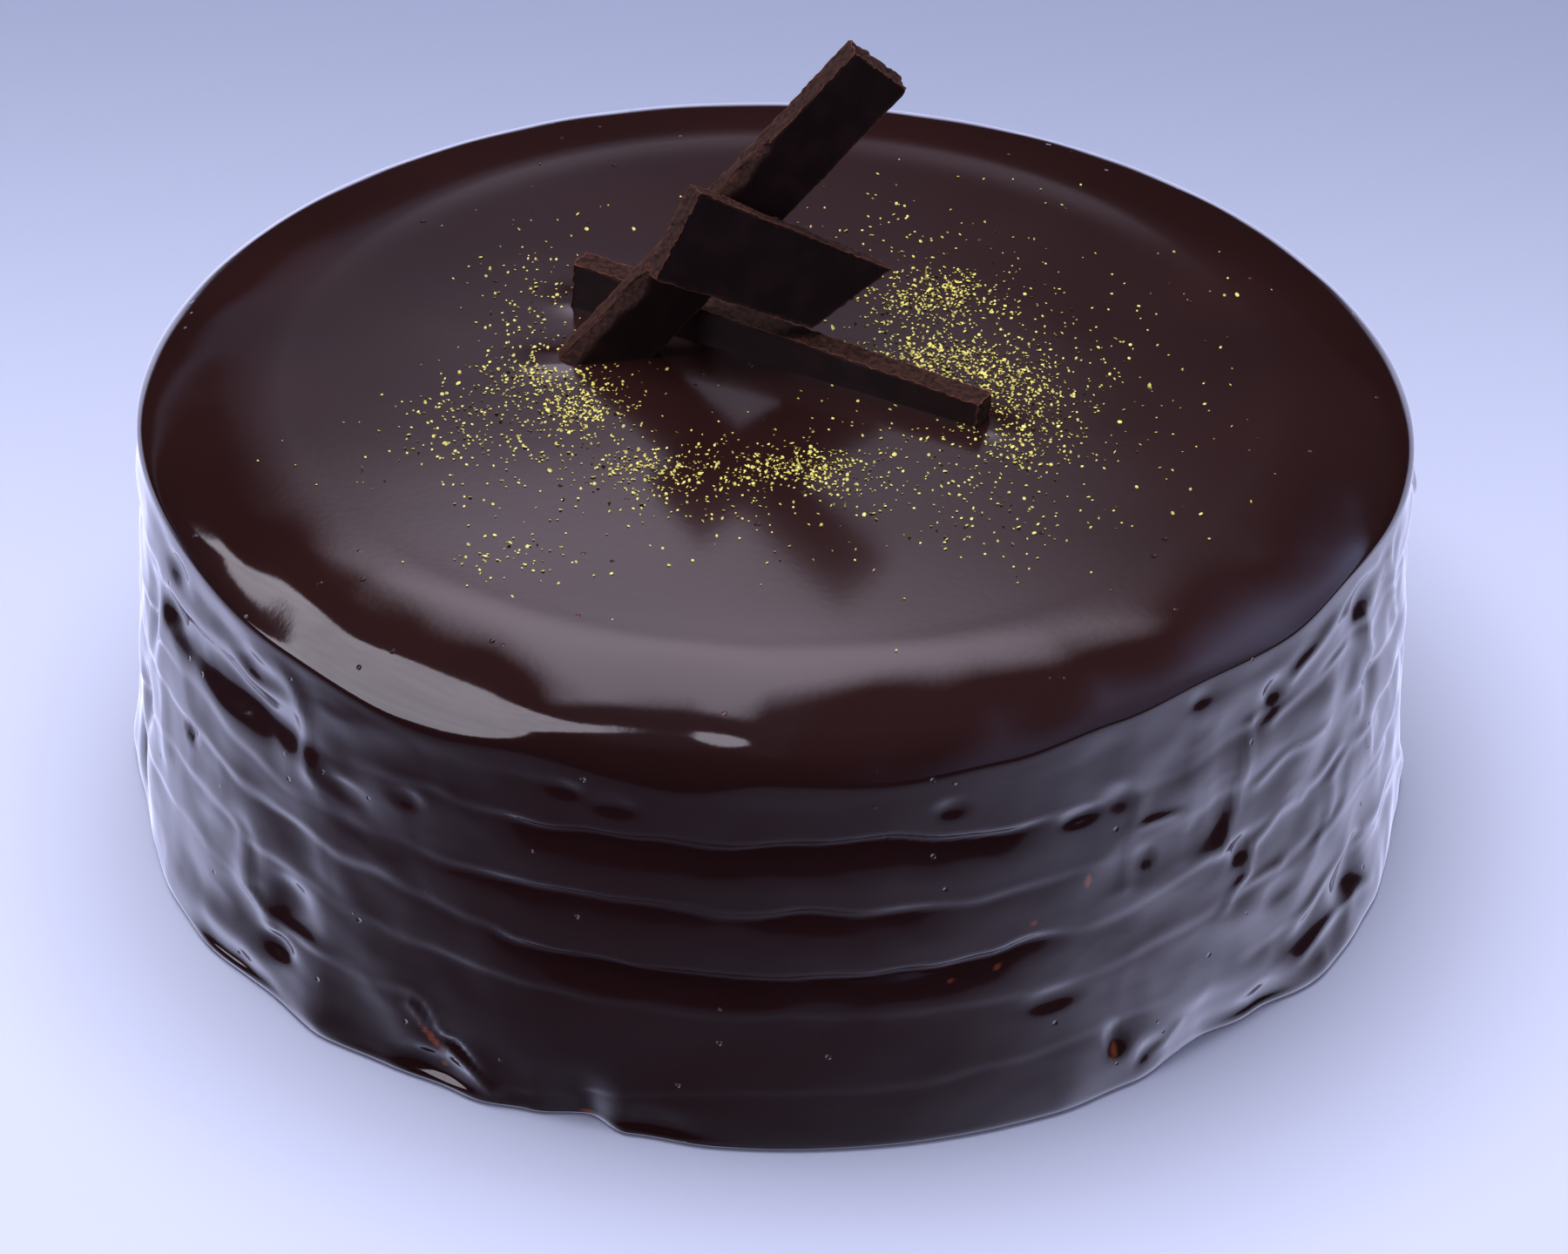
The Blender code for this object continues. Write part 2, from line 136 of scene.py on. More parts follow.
# Folds of glaze that stand up from the side: how high, half width, then the (angle, height) path
FOLDS = [
    (0.5, 2.6, (-46, 78), (-43.5, 66), (-42, 55)), (0.6, 2.4, (-52, 31), (-51.5, 21), (-48, 16.5)),
    (0.7, 1.5, (-31, 17), (-27.5, 11), (-23, 4)),
    (0.45, 1.3, (45, 67), (44.5, 58), (43.5, 50), (42, 43)),
    (0.15, 1.4, (39, 74), (38.5, 63), (38, 54), (37.5, 46)),
    (0.15, 1.2, (33.5, 61), (32.5, 53), (31.5, 44)), (0.35, 1.3, (48, 65), (54, 66.5), (60, 67.5)),
    (0.35, 1.3, (46.5, 53), (51, 55), (57, 55)),
    (0.5, 1.5, (51, 71), (56, 75.5), (61, 79), (66, 79)),
    (0.4, 1.5, (58, 32), (58.5, 41), (62, 44), (66, 43.5)), (0.4, 1.4, (66, 43.5), (67.5, 33)),
    (0.35, 1.2, (46.5, 40), (50, 43.5), (53.5, 43)), (0.45, 1.2, (46.5, 41), (46, 34), (43, 30)),
    (0.3, 1.1, (44, 31), (50, 32)), (0.4, 1.6, (56, 30.5), (60, 32), (72, 31.5)),
    (0.5, 1.8, (53, 15), (57, 19), (62, 20)), (0.7, 2.6, (66, 20), (78, 17.5), (88, 6)),
    (0.4, 1.6, (54, 8), (60, 10), (67, 8.5)), (0.5, 1.8, (63, 71), (66, 60), (64, 50)),
    (0.5, 2.0, (70, 76), (72, 66), (75, 56)), (0.4, 1.2, (38, 9), (35, 4)),
    (0.3, 1.0, (34, 56), (37, 55), (38, 52)), (0.4, 3.0, (-68, 64), (-70, 46), (-67, 30)),
    (1.2, 5.0, (-92, 22), (-90, 5)), (0.7, 3.0, (-108, 70), (-106, 52), (-103, 38)),
    (0.8, 3.0, (-132, 54), (-129, 38), (-131, 22)), (0.7, 2.8, (-158, 72), (-155, 40)),
    (0.6, 2.4, (-120, 30), (-112, 33), (-104, 31)), (0.6, 2.2, (86, 70), (93, 66), (101, 68)),
    (0.8, 3.0, (98, 66), (101, 48), (100, 30)), (0.7, 2.8, (122, 76), (119, 46)),
    (0.6, 2.2, (108, 40), (116, 43), (126, 41)), (0.8, 3.2, (143, 50), (146, 14)),
    (0.7, 3.0, (168, 70), (170, 34)), (0.6, 2.4, (150, 60), (158, 62), (167, 58))
]

# Hollows in the side: (angle, height, half width, half height, depth)
HOLLOWS = [
    (-54.5, 61.5, 20, 5.0, 2.2), (-44.5, 23.5, 6, 5.0, 1.5), (-53.5, 3, 10, 4.5, 1.9),
    (-28.5, 4, 7, 3.5, 1.6), (-64, 73, 5, 3.0, 1.0), (-49.5, 69.5, 6, 2.6, 1.1),
    (-66, 62.5, 5, 3.5, 1.2), (-61, 42, 1.6, 2.0, 0.7), (-46.5, 12.5, 4, 2.5, 1.2),
    (-8.5, 3, 7, 3.5, 1.2), (-17, 71, 3, 1.8, 0.6), (-12.5, 69, 4, 2.0, 0.6),
    (-32, 59, 3, 2.0, 0.6), (-38, 55, 4, 2.5, 0.7), (15.5, 69, 2.5, 1.8, 0.5),
    (62, 74, 6, 4.5, 1.4), (63, 15.5, 5.5, 5.0, 1.4), (60, 62, 5, 4.0, 0.7), (48, 71, 3, 3.0, 0.9),
    (44.5, 41, 2.4, 2.8, 0.8), (31.5, 11.5, 2.2, 3.0, 1.1), (35, 6, 2.6, 3.0, 1.0),
    (48.5, 3.5, 7, 3.6, 1.3), (31, 63, 3, 2.5, 0.4), (34, 49, 2, 2.0, 0.5), (42, 62, 3, 7.0, 0.4),
    (42, 50, 3, 5.0, 0.4), (50.5, 27, 6, 2.4, 0.5), (25, 25, 5, 2.2, 0.4), (66, 53, 5, 5.0, 0.8),
    (69, 67, 6, 5.0, 0.8), (27, 61.5, 3, 1.6, 0.5), (38.5, 78, 1.6, 1.6, 0.7),
    (-72, 55, 4, 7.0, 1.0), (-76, 30, 4, 6.0, 1.2), (-80, 13, 6, 6.0, 2.4), (-100, 50, 8, 5.0, 1.4),
    (-145, 34, 9, 5.0, 1.4), (108, 22, 8, 5.0, 1.4), (160, 58, 8, 5.0, 1.3), (132, 62, 7, 4.0, 1.2),
    (-118, 58, 6, 4.0, 1.2)
]

# Small reddish spots on the side, where cake and crumbs show through the glaze, and a painted
# reflection along the front left fold: (angle, height, half width, half height, slant)
BARE_AND_REFLECTION_SPOTS = [
    (-29, 10.3, 3.2, 1.0, -0.9), (-28, 5, 1.0, 0.5, 0), (31.2, 9, 0.8, 2.0, 0.4),
    (23, 42, 0.8, 0.6, 0), (28, 48, 0.7, 1.6, 0), (20, 34, 1.0, 0.5, 0.6), (16, 32.5, 0.8, 0.4, 0),
    (-15, 1.5, 1.6, 0.6, 0)
]

# The slab that the bars are cut from, how deep its breaks crumble, and the most steps along it
SLAB = 5.2
WORN_DEPTH = 0.9
MOST_STEPS = 100
TINY = 1e-6

# Each bar: the corner it is set out from, how its broad face is turned, leans and slopes (degrees),
# its length, its width at each end, how far its first end is off square, how far its last end is
# cut back at its lower edge, how deep its two front edges are chipped, and how far along
BARS = {
    "chocolate_bar_on_edge": dict(
        corner=(-39.5, 20.4, 84.9), yaw=-28.3, lean=0.0, slope=-3.0, length=86.4,
        widths=(12.5, 12.5), skew=0.0, end_cut=0.0, low_chip=0.4, high_chip=0.7, chip_to=1.0),
    "chocolate_bar_leaning": dict(
        corner=(-33.3, -0.4, 75.4), yaw=12.0, lean=-1.2, slope=48.8, length=86.6,
        widths=(13.5, 13.5), skew=0.0, end_cut=0.0, low_chip=0.7, high_chip=2.9, chip_to=0.72),
    "chocolate_bar_across": dict(
        corner=(-22.7, -10.3, 111.3), yaw=21.8, lean=8.0, slope=-26.6, length=44.6,
        widths=(18.3, 15.5), skew=1.6, end_cut=10.5, low_chip=0.3, high_chip=0.5, chip_to=1.0),
}

# Where the leaning bar enters the glaze, and for what length
LEANING_ENTRY = ((-41.3, -2.1), 17.8)

# Gold: how far out it lies, its distance from the bars, and where it is thickest on the top, as
# (x, y, spread along x, spread along y, share of it all)
GOLD_REACH = 100.0
GOLD_CLEAR = 0.3
GOLD_DRIFTS = [
    (29, 27, 7, 6, 0.15), (31, 4, 7, 5, 0.15), (42, -6, 7, 8, 0.13), (45, -25, 6, 7, 0.06),
    (5, -35, 7, 4, 0.10), (-36, -15, 5, 6, 0.10), (-45, -4, 6, 5, 0.05), (-24, -36, 5, 4, 0.03),
    (-54, -24, 10, 8, 0.05), (-16, -41, 12, 7, 0.05), (36, -50, 9, 8, 0.03),
    (-44, -67, 6, 4, 0.015), (-46, 24, 5, 12, 0.03), (14, 50, 18, 9, 0.035), (0, -37, 32, 12, 0.06),
    (46, 2, 20, 26, 0.07)
]

# Colours that aren't settings, and how much darker the table is painted far off, as painted shade
CRUMB_COLOUR = (0.16, 0.045, 0.022)
# Painted shade: the glaze's side is blended towards this darker colour
SIDE_SHADE_COLOUR = (0.017, 0.0045, 0.005)
# Reddish spots: cake and crumbs showing through, and a painted reflection along the front left fold
BARE_AND_REFLECTION_COLOUR = (0.20, 0.045, 0.018)
# Painted highlight along the bars' edges
EDGE_HIGHLIGHT_COLOUR = (0.15, 0.046, 0.028)
BACKDROP_COLOUR = (0.41, 0.45, 0.69)
ROOM_COLOUR, ROOM_STRENGTH = (0.80, 0.84, 1.0, 1.0), 0.46
LAMP_COLOUR = (0.93, 0.95, 1.0)
FAR_SHADE = (0.41, 0.435, 0.48)

# Height of the finishes' finest relief, and where the lamp hangs, in metres
RELIEF_DEPTH = 0.0006
LAMP_PLACE = (-0.15, 0.20, 1.35)

# Brightness of the room as the gloss sees it, as (angle, brightness)
ROUND_THE_ROOM = [
    (-180, 1.4), (-165, 2.1), (-135, 1.8), (-122, 2.3), (-98, 2.0), (-86, 1.25), (-73, 0.78),
    (-60, 0.45), (-47, 0.32), (-35, 0.22), (-20, 0.24), (4, 0.38), (17, 0.48), (30, 0.7), (43, 1.1),
    (56, 1.6), (68, 2.4), (81, 2.3), (106, 2.1), (122, 2.0), (143, 1.5), (165, 1.6), (180, 1.4)
]
UP_THE_FRONT = [
    (-90, 0.3), (-68, 0.8), (-50, 1.3), (-34, 1.05), (-25, 0.75), (-17.5, 0.46), (-14.5, 0.06),
    (-10, 0.02)
]

# The camera: how far it is tipped down and rolled (degrees), what it looks at and how far off it is
LOOK_DOWN, ROLL = 33.444, 1.288
LOOK_AT, LOOK_FROM = (2.339, -0.306, 30.0), 1048.1


# ---------- settings

class GlazeSettings(bpy.types.PropertyGroup):
    """Sizes and colours of the glaze."""
    segments: IntProperty(name="Segments", description="Steps round the cake", default=480)
    unevenness: FloatProperty(
        name="Unevenness", description="Height of the side's soft unevenness",
        default=0.35 * MM, unit="LENGTH")
    dark: FloatVectorProperty(
        name="Glaze", description="Colour of the glaze", subtype="COLOR", size=3,
        default=(0.0205, 0.0066, 0.0064))
    gloss: FloatProperty(name="Roughness", description="Roughness of the glaze", default=0.075)


class ChocolateSettings(bpy.types.PropertyGroup):
    """Sizes and colours of the bars."""
    step: FloatProperty(
        name="Grain step", description="Spacing of the bars' surface points",
        default=0.46 * MM, unit="LENGTH")
    crumble: FloatProperty(
        name="Crumble", description="Depth of the broken faces", default=0.45 * MM, unit="LENGTH")
    face: FloatVectorProperty(
        name="Moulded face", description="Colour of the smooth faces", subtype="COLOR", size=3,
        default=(0.0130, 0.0056, 0.0056))
    broken: FloatVectorProperty(
        name="Broken face", description="Colour of the broken faces", subtype="COLOR", size=3,
        default=(0.036, 0.0155, 0.0115))


class GoldSettings(bpy.types.PropertyGroup):
    """Amount, size and colour of the gold."""
    count: IntProperty(name="Flakes", description="How many flakes are scattered", default=4700)
    size: FloatProperty(
        name="Size", description="Half width of a usual flake", default=0.205 * MM, unit="LENGTH")
    colour: FloatVectorProperty(
        name="Gold", description="Colour of the flakes", subtype="COLOR", size=3,
        default=(1.0, 0.85, 0.21))


class StageSettings(bpy.types.PropertyGroup):
    """The table, the light and the camera."""
    floor: FloatVectorProperty(
        name="Table", description="Colour of the table", subtype="COLOR", size=3,
        default=(0.68, 0.70, 0.92))
    key: FloatProperty(
        name="Key light", description="Power of the overhead light", default=22.0, unit="POWER")
    lens: FloatProperty(name="Lens", description="Focal length in millimetres", default=126.0)


# ---------- form of the cake

def smooth(t):
    """A soft step from 0 to 1."""
    t = np.clip(t, 0.0, 1.0)
    return t * t * (3.0 - 2.0 * t)


def near(value, middle, width, power=2):
    """1 at the middle, falling softly to 0 past the width."""
    return np.exp(-((value - middle) / width) ** power)


def along_side(angle, middle):
    """Millimetres along the side, from one angle to others."""
    return ((angle - middle + 180.0) % 360.0 - 180.0) * ARC


def round_the_cake(knots, angle, column=1):
    """Follow one column of (angle, ...) knots once round the cake, softly from knot to knot."""
    at = np.array([knot[0] for knot in knots], float)
    value = np.array([knot[column] for knot in knots], float)
    at = np.append(at, at[0] + 360.0)
    value = np.append(value, value[0])
    turned = (np.asarray(angle, float) - at[0]) % 360.0 + at[0]
    left = np.clip(np.searchsorted(at, turned, side="right") - 1, 0, len(at) - 2)
    share = smooth((turned - at[left]) / (at[left + 1] - at[left]))
    return value[left] + (value[left + 1] - value[left]) * share


def cell_of(across, up, columns, rows, tall):
    """The lattice cell that each place falls in, and where in that cell it lies."""
    x = (np.asarray(across, float) % 360.0) / 360.0 * columns
    y = np.clip(np.asarray(up, float) / tall, 0.0, 0.9999) * rows
    left, low = np.floor(x).astype(int), np.floor(y).astype(int)
    return left, low, x - left, y - low


def over_cell(x, y, corner):
    """Blend what corner(right, above) gives at a cell's four corners, softly over the cell."""
    share_x, share_y = smooth(x), smooth(y)
    bottom = corner(0, 0) * (1 - share_x) + corner(1, 0) * share_x
    above = corner(0, 1) * (1 - share_x) + corner(1, 1) * share_x
    return bottom * (1 - share_y) + above * share_y


def unevenness(across, up, seed, columns, rows, tall):
    """Soft seeded unevenness from -1 to 1: `columns` once round, and `rows` over `tall`."""
    lattice = np.random.default_rng(seed).uniform(-1.0, 1.0, (rows + 2, columns))
    left, low, x, y = cell_of(across, up, columns, rows, tall)
    return over_cell(x, y, lambda right, above: lattice[low + above, (left + right) % columns])


def ripple(across, up, seed, columns, rows, tall=SIDE_TALL):
    """Rounded seeded ripples from about -1 to 1: `columns` once round, and `rows` over `tall`."""
    turn = np.random.default_rng(seed).uniform(0.0, 2.0 * np.pi, (rows + 2, columns))
    left, low, x, y = cell_of(across, up, columns, rows, tall)

    def pull(right, above):
        """How much the slope at one corner raises each place in the cell."""
        way = turn[low + above, (left + right) % columns]
        return np.cos(way) * (x - right) + np.sin(way) * (y - above)

    return 1.5 * over_cell(x, y, pull)


def away_from_front(angle):
    """0 on the even front of the side, 1 on the livelier rest of it, less on its calm left."""
    turned = (angle + 180.0) % 360.0 - 180.0
    calm = near(turned, -74.0, 17.0)
    return smooth((np.abs(turned - 2.0) - 18.0) / 22.0) * (1.0 - 0.5 * calm)


def lap_relief(angle, height):
    """Each lap steps in under its line, and runs out again down its flank."""
    depth = np.zeros_like(height)
    level = np.full_like(height, 0.4)
    lively = away_from_front(angle)
    faint = 1.0 - 0.5 * near(angle, -62.0, 20.0, 4)
    lip = LAP_LIP * (1.0 + 0.6 * lively)
    for number, line in enumerate(LAPS):
        wander = LAP_WANDER * ripple(angle, level, 40 + number, columns=70, rows=1, tall=1.0)
        come_and_go = ripple(angle, level, 60 + number, columns=48, rows=1, tall=1.0)
        strength = 1.0 + (0.25 + LAP_FAINT * lively) * come_and_go
        below = round_the_cake(line, angle) + wander - height
        down = np.clip(below / LAP_FLANK, 0.0, 1.0)
        inside = smooth((below + lip) / lip) * (1.0 - down) ** 2
        depth -= round_the_cake(line, angle, 2) * strength * inside
    return depth * (1.0 - 0.35 * lively) * faint


def fold_relief(angle, height):
    """Each fold is a low rounded ridge that follows its path."""
    raised = np.zeros_like(height)
    for stands, half_width, *path in FOLDS:
        nearest = np.full_like(height, 1e3)
        for (start, high), (end, low) in zip(path, path[1:]):
            across, up = along_side(angle, start), height - high
            run = np.array([(end - start) * ARC, low - high])
            share = np.clip((across * run[0] + up * run[1]) / (run @ run), 0.0, 1.0)
            nearest = np.minimum(nearest, np.hypot(across - share * run[0], up - share * run[1]))
        raised = np.maximum(raised, stands * near(nearest, 0.0, half_width))
    return raised


def hollow_relief(angle, height):
    """Each hollow is a shallow oval dish."""
    depth = np.zeros_like(height)
    for middle, level, half_width, half_height, deep in HOLLOWS:
        across = along_side(angle, middle) / half_width
        up = (height - level) / half_height
        depth -= deep * np.exp(-(across ** 2 + up ** 2) ** 1.4)
    return depth


def bare_and_reflection_share(angle, height):
    """1 in the middle of a reddish spot, 0 outside them: cake showing through, and a painted
    reflection at a fold.
    """
    share = np.zeros_like(height)
    for middle, level, half_width, half_height, slant in BARE_AND_REFLECTION_SPOTS:
        across = along_side(angle, middle)
        up = height - level - slant * across
        share = np.maximum(share, np.exp(-(across / half_width) ** 2 - (up / half_height) ** 2))
    return share


def side_reach(angle, height, fine):
    """Distance of the side from the cake's axis."""
    share = height / round_the_cake(RIM_CREASE, angle)
    reach = FOOT_RADIUS + (SIDE_RADIUS - FOOT_RADIUS) * smooth(share)
    lively = away_from_front(angle)
    foot_height = 15.0 + 15.0 * near(angle, 12.0, 19.0, 4)
    reach = reach + round_the_cake(FOOT_LOBES, angle) * (1.0 - smooth(height / foot_height))
    fade = smooth((1.0 - share) * 14.0) * smooth(height / 3.0)
    # The laps, folds and hollows wander, and more so away from the front
    bent = angle + (0.2 + 0.8 * lively) * ripple(angle, height, 21, columns=60, rows=8)
    raised = height + (0.3 + 0.9 * lively) * ripple(angle, height, 22, columns=60, rows=9)
    relief = lap_relief(bent, raised) + fold_relief(bent, raised) + hollow_relief(bent, raised)
    # Broad and small ripples lie over them, with a few narrow crests
    broad = ripple(angle, height, 11, columns=56, rows=8)
    small = ripple(angle, height, 12, columns=110, rows=18)
    relief = relief + fine * ((0.4 + 1.6 * lively) * broad + (0.1 + 0.22 * lively) * small)
    crest = 1.0 - np.abs(ripple(bent, raised, 13, columns=44, rows=6))
    relief = relief + fine * lively * 0.45 * crest ** 4
    return reach + relief * fade


def glaze_form(segments, fine):
    """Angle of every segment, and reach and height of every point of the glaze, foot first."""
    even = np.arange(segments) * 2.0 * np.pi / segments - np.pi
    angle = np.degrees(even - FINER_FRONT * np.sin(even))
    crease = round_the_cake(RIM_CREASE, angle)
    foot = side_reach(angle, np.full(segments, FOOT_ROLL), fine)
    reaches, heights = [], []
    for row in range(FOOT_ROWS):
        turn = np.radians(90.0 * row / (FOOT_ROWS - 1.0))
        reaches.append(foot - FOOT_ROLL * (1.0 - np.sin(turn)))
        heights.append(np.full(segments, FOOT_ROLL * (1.0 - np.cos(turn))))
    for row in range(1, SIDE_ROWS + 1):
        height = FOOT_ROLL + (crease - FOOT_ROLL) * row / SIDE_ROWS
        reaches.append(side_reach(angle, height, fine))
        heights.append(height)
    for row in range(1, RIM_ROWS + 1):
        turn = np.radians(90.0) * row / RIM_ROWS
        over = np.full(segments, row / RIM_ROWS)
        wave = ripple(angle, over, 31, columns=40, rows=3, tall=1.0) * np.sin(2.0 * turn)
        # The wave is highest at the front left, and dies out before the top
        wave = wave * (0.16 + 0.26 * near(angle, -50.0, 20.0)) * smooth((0.95 - over) / 0.45)
        reaches.append(SIDE_RADIUS - RIM_WIDTH * (1.0 - np.cos(turn)) + wave * np.cos(turn))
        heights.append(crease + (TOP_HEIGHT - crease) * np.sin(turn) + wave * np.sin(turn))
    for row in range(1, TOP_ROWS + 1):
        share = 1.0 - row / (TOP_ROWS + 0.4)
        reaches.append(np.full(segments, FLAT_RADIUS * share))
        heights.append(np.full(segments, TOP_HEIGHT + TOP_CROWN * (1.0 - share ** 2)))
    return angle, np.array(reaches), np.array(heights)


def bar_axes(yaw, lean, slope):
    """Along, across and outward directions of a bar's broad face."""
    level = Matrix.Rotation(radians(yaw), 3, "Z") @ Matrix.Rotation(radians(-lean), 3, "X")
    right, outward, up = (level @ Vector(way) for way in ((1, 0, 0), (0, -1, 0), (0, 0, 1)))
    along = cos(radians(slope)) * right + sin(radians(slope)) * up
    return along, outward.cross(along), outward


def bar_footprints():
    """Start and end of the line along which each of the two sunk bars enters the glaze."""
    on_edge, leaning = BARS["chocolate_bar_on_edge"], BARS["chocolate_bar_leaning"]
    lines = []
    for yaw, corner, length in ((on_edge["yaw"], on_edge["corner"][:2], on_edge["length"]),
                                (leaning["yaw"], *LEANING_ENTRY)):
        along, _, outward = bar_axes(yaw, 0.0, 0.0)
        start = Vector((*corner, 0.0)) - outward * SLAB / 2.0
        lines.append((start, start + along * length))
    return lines


def gap_to_bar(x, y, start, end):
    """Distance on the top from a sunk bar's faces, below 0 inside it."""
    run = np.array([end.x - start.x, end.y - start.y])
    share = np.clip(((x - start.x) * run[0] + (y - start.y) * run[1]) / (run @ run), 0.0, 1.0)
    return np.hypot(x - start.x - share * run[0], y - start.y - share * run[1]) - SLAB / 2.0


def top_rise(x, y):
    """How much the glaze climbs against the sunk bars, and the top's own slow unevenness."""
    rise = np.zeros_like(x)
    for start, end in bar_footprints():
        gap = np.maximum(gap_to_bar(x, y, start, end), 0.0)
        rise = np.maximum(rise, CLIMB * np.exp(-gap / CLIMB_REACH))
    reach = np.hypot(x, y)
    angle = np.degrees(np.arctan2(x, -y))
    # A low swell runs round the back, just inside the rim
    behind = smooth((np.abs(angle) - 100.0) / 40.0)
    rise = rise + 0.35 * behind * near(reach, 93.0, 5.0)
    slow = ripple(x + 200.0, y + 120.0, 33, columns=11, rows=7, tall=240.0)
    return rise + 0.10 * slow * smooth((112.0 - reach) / 30.0)


def top_height(x, y):
    """Height of the flat of the cake's top."""
    crown = TOP_CROWN * (1.0 - np.minimum((x * x + y * y) / FLAT_RADIUS ** 2, 1.0))
    return TOP_HEIGHT + crown + top_rise(x, y)


# ---------- making and joining

def deselect_all():
    """Leave nothing selected."""
    for item in bpy.context.view_layer.objects:
        item.select_set(False)


def take_on(item, body, slot, *nodes):
    """Let a piece ride on the frame and stand for CAD nodes; its slot is not used."""
    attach(item, body)
    if nodes:
        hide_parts(*nodes)


def select_only(item, kind, chosen):
    """In object mode, select exactly the chosen edges or faces of a mesh."""
    mesh = item.data
    for part in (mesh.vertices, mesh.edges, mesh.polygons):
        part.foreach_set("select", np.zeros(len(part), bool))
    getattr(mesh, kind).foreach_set("select", np.asarray(chosen, bool))


def points_of(mesh):
    """Where a mesh's points are, a row for each."""
    flat = np.empty(len(mesh.vertices) * 3)
    mesh.vertices.foreach_get("co", flat)
    return flat.reshape(-1, 3)


def put_points(mesh, points):
    """Move a mesh's points."""
    mesh.vertices.foreach_set("co", np.asarray(points, float).ravel())
    mesh.update()


def mark(mesh, name, values):
    """Keep a value at every point of a mesh, for its finish to read."""
    layer = mesh.attributes.new(name, "FLOAT", "POINT")
    layer.data.foreach_set("value", values.astype(np.float32))


def select_mode(kind):
    """Let edit mode pick by edge or by face alone, so that a choice isn't widened on the way in."""
    picks = (False, kind == "edges", kind == "polygons")
    bpy.context.tool_settings.mesh_select_mode = picks


def edge_ends(mesh):
    """The two points of every edge of a mesh."""
    ends = np.empty(len(mesh.edges) * 2, int)
    mesh.edges.foreach_get("vertices", ends)
    return ends.reshape(-1, 2)


def face_outwards():
    """In edit mode, turn all faces of a mesh outwards."""
    bpy.ops.mesh.select_all(action="SELECT")
    bpy.ops.mesh.normals_make_consistent(inside=False)


def make_glaze(settings):
    """The glaze: a fine sheet rolled into a tube, its rings drawn into place, its ends closed."""
    segments = settings.segments
    angle, reach, height = glaze_form(segments, settings.unevenness / MM)
    rings = len(reach) - 1
    deselect_all()
    bpy.ops.mesh.primitive_grid_add(x_subdivisions=segments, y_subdivisions=rings, size=1.0)
    glaze = bpy.context.object
    blank = points_of(glaze.data) + 0.5
    row = np.rint(blank[:, 1] * rings).astype(int)
    segment = np.rint(blank[:, 0] * segments).astype(int) % segments
    reach, height, angle = reach[row, segment], height[row, segment], angle[segment]
    x, y = reach * np.sin(np.radians(angle)), -reach * np.cos(np.radians(angle))
    past_side = row - FOOT_ROWS - SIDE_ROWS
    height = height + smooth((past_side - RIM_ROWS * 0.3) / (RIM_ROWS * 0.5)) * top_rise(x, y)
    put_points(glaze.data, np.stack([x, y, height], 1) * MM)
    # Keep where the reddish spots lie: cake showing through, and a painted reflection along a fold
    mark(glaze.data, "bare", np.where(row < SIDE_ROWS, bare_and_reflection_share(angle, height), 0.0))
    select_mode("edges")
    bpy.ops.object.mode_set(mode="EDIT")
    bpy.ops.mesh.select_all(action="SELECT")
    bpy.ops.mesh.remove_doubles(threshold=1e-7)
    bpy.ops.mesh.select_all(action="DESELECT")
    bpy.ops.mesh.select_non_manifold(
        extend=False, use_wire=False, use_boundary=True, use_multi_face=False,
        use_non_contiguous=False, use_verts=False)
    bpy.ops.mesh.edge_face_add()
    bpy.ops.object.mode_set(mode="OBJECT")
    # Each end is one face of many sides, which is cut to its middle
    select_mode("polygons")
    select_only(glaze, "polygons", [len(face.vertices) > 4 for face in glaze.data.polygons])
    bpy.ops.object.mode_set(mode="EDIT")
    bpy.ops.mesh.poke()
    face_outwards()
    bpy.ops.object.mode_set(mode="OBJECT")
    bpy.ops.object.shade_smooth()
    return glaze


def cut_block(item, spans, step):
    """Cut a unit block, in one direction after another, into steps of about one length."""
    for axis, span in enumerate(spans):
        ends = points_of(item.data)[edge_ends(item.data)]
        reach = np.abs(ends[:, 0] - ends[:, 1])
        select_mode("edges")
        select_only(item, "edges",
                    (reach[:, axis] > TINY) & (reach.sum(1) - reach[:, axis] < TINY))
        bpy.ops.object.mode_set(mode="EDIT")
        bpy.ops.mesh.subdivide(number_cuts=min(int(round(span / step)), MOST_STEPS) - 1)
        bpy.ops.object.mode_set(mode="OBJECT")


